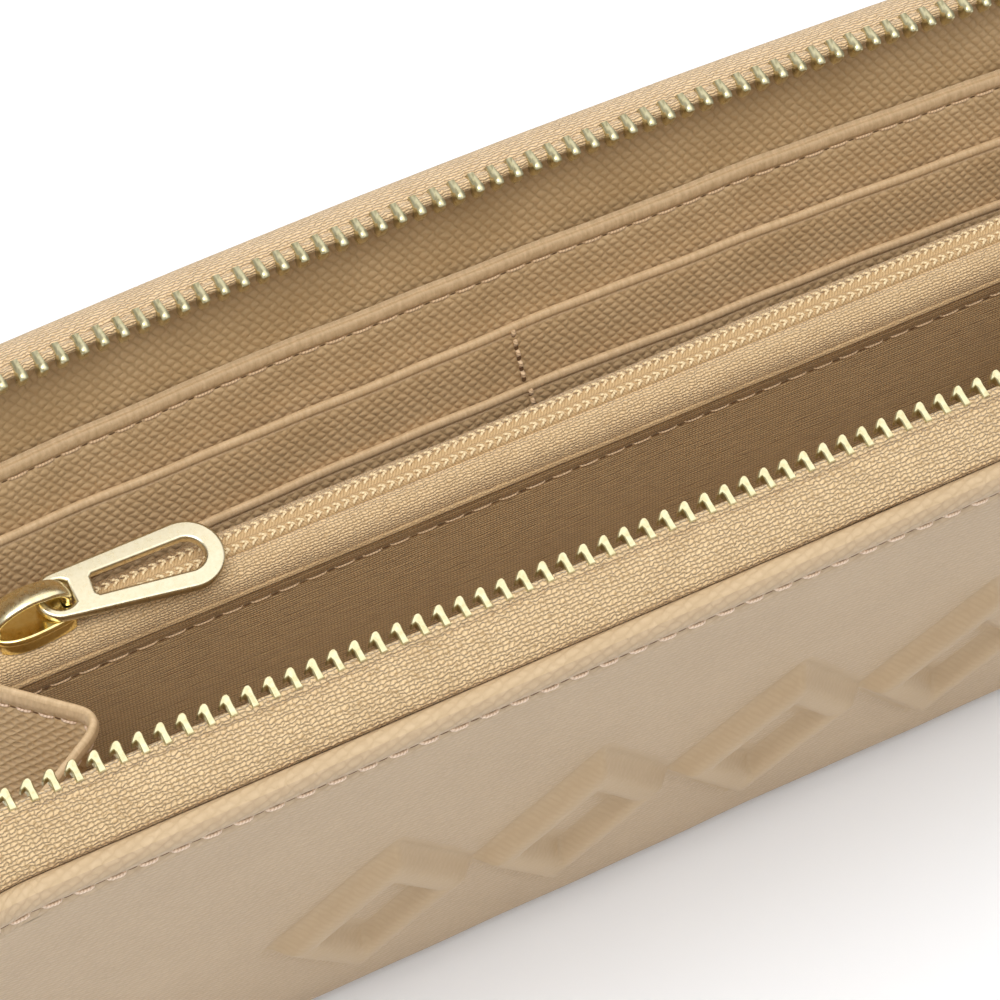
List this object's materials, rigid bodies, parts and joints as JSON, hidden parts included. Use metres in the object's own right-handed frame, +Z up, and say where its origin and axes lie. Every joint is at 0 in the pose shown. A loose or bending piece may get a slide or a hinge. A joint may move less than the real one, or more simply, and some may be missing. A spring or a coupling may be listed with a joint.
{
  "type": "zip around wallet",
  "caption": "Long leather wallet, part open on its spine, with a metal zip round three sides, a zipped coin pocket in the middle and stepped card pockets on each side.",
  "frame": {"origin": "middle of the flat underside of the spine, on the surface the wallet stands on", "axes": "+X along the wallet towards the main zip slider, -Y towards the front cover, +Z up"},
  "size_m": [0.211, 0.0663, 0.1034],
  "materials": {
    "cover_leather": "sand saffiano-grained leather, satin",
    "pocket_leather": "sand saffiano-grained leather, matt",
    "stiffener": "pressed fibre board",
    "lining_cloth": "brown ribbed lining cloth",
    "zip_tape": "woven polyester zip tape",
    "zip_metal": "pale gold plated, polished",
    "zip_coil": "nylon coil with chain stitching"
  },
  "bodies": {
    "spine": {"gusset_back_left": "pocket_leather", "gusset_back_right": "pocket_leather", "gusset_front_left": "pocket_leather", "gusset_front_right": "pocket_leather", "spine_board": "stiffener", "spine_leather": "cover_leather", "spine_lining": "lining_cloth", "zip_end_tab_left": "cover_leather", "zip_end_tab_right": "cover_leather"},
    "front_half": {"front_card_panel_lower": "pocket_leather", "front_card_panel_middle": "pocket_leather", "front_card_panel_upper": "pocket_leather", "front_cover_board": "stiffener", "front_cover_leather": "cover_leather", "front_lining": "pocket_leather", "front_slip_pocket": "pocket_leather", "front_zip_tape": "zip_tape", "front_zip_teeth": "zip_metal"},
    "back_half": {"back_card_panel_lower": "pocket_leather", "back_card_panel_middle": "pocket_leather", "back_card_panel_upper": "pocket_leather", "back_cover_board": "stiffener", "back_cover_leather": "cover_leather", "back_lining": "pocket_leather", "back_slip_pocket": "pocket_leather", "back_zip_tape": "zip_tape", "back_zip_teeth": "zip_metal"},
    "coin_pocket": {"coin_pocket_base": "lining_cloth", "coin_pocket_edge_back": "pocket_leather", "coin_pocket_edge_front": "pocket_leather", "coin_pocket_end_left": "pocket_leather", "coin_pocket_end_right": "pocket_leather", "coin_pocket_wall_back": "lining_cloth", "coin_pocket_wall_front": "lining_cloth", "coin_zip_coil_back": "zip_coil", "coin_zip_coil_front": "zip_coil", "coin_zip_stop_left": "zip_metal", "coin_zip_stop_right": "zip_metal", "coin_zip_tape_back": "zip_tape", "coin_zip_tape_front": "zip_tape"},
    "coin_slider": {"coin_slider_body": "zip_metal", "coin_slider_crown": "zip_metal"},
    "coin_pull": {"coin_puller": "zip_metal"},
    "main_slider": {"main_slider_body": "zip_metal", "main_slider_crown": "zip_metal"},
    "main_pull": {"main_puller": "zip_metal"}
  },
  "joints": [
    {"name": "front_cover_opens", "type": "hinge", "parent": "spine", "child": "front_half", "pos_m": [0, -0.0113, 0.0014], "axis": [1, 0, 0], "range_deg": [-19, 12], "deforming": ["gusset_front_left", "gusset_front_right"]},
    {"name": "back_cover_opens", "type": "hinge", "parent": "spine", "child": "back_half", "pos_m": [0, 0.0113, 0.0014], "axis": [-1, 0, 0], "range_deg": [-6.51, 4.2], "deforming": ["gusset_back_left", "gusset_back_right"]},
    {"name": "coin_pocket_leans", "type": "hinge", "parent": "spine", "child": "coin_pocket", "pos_m": [0, 0, 0.006], "axis": [1, 0, 0], "range_deg": [-2, 3.1]},
    {"name": "coin_zip_slides", "type": "slide", "parent": "coin_pocket", "child": "coin_slider", "axis": [1, 0, 0], "range_m": [0, 0.118]},
    {"name": "coin_puller_lifts", "type": "hinge", "parent": "coin_slider", "child": "coin_pull", "pos_m": [-0.0665, 0.00375, 0.07755], "axis": [0, -0.9986, 0.0523], "range_deg": [0, 60]},
    {"name": "main_zip_slides", "type": "slide", "parent": "spine", "child": "main_slider", "axis": [0, 0, 1], "range_m": [0, 0.058]},
    {"name": "main_puller_swings", "type": "hinge", "parent": "main_slider", "child": "main_pull", "pos_m": [0.1055, 0, 0.015], "axis": [0, 1, 0], "range_deg": [0, 110]}
  ],
  "couplings": [
    {"joint": "back_cover_opens", "follows": "front_cover_opens", "ratio": 0.3421},
    {"joint": "coin_pocket_leans", "follows": "front_cover_opens", "ratio": -0.1579}
  ]
}
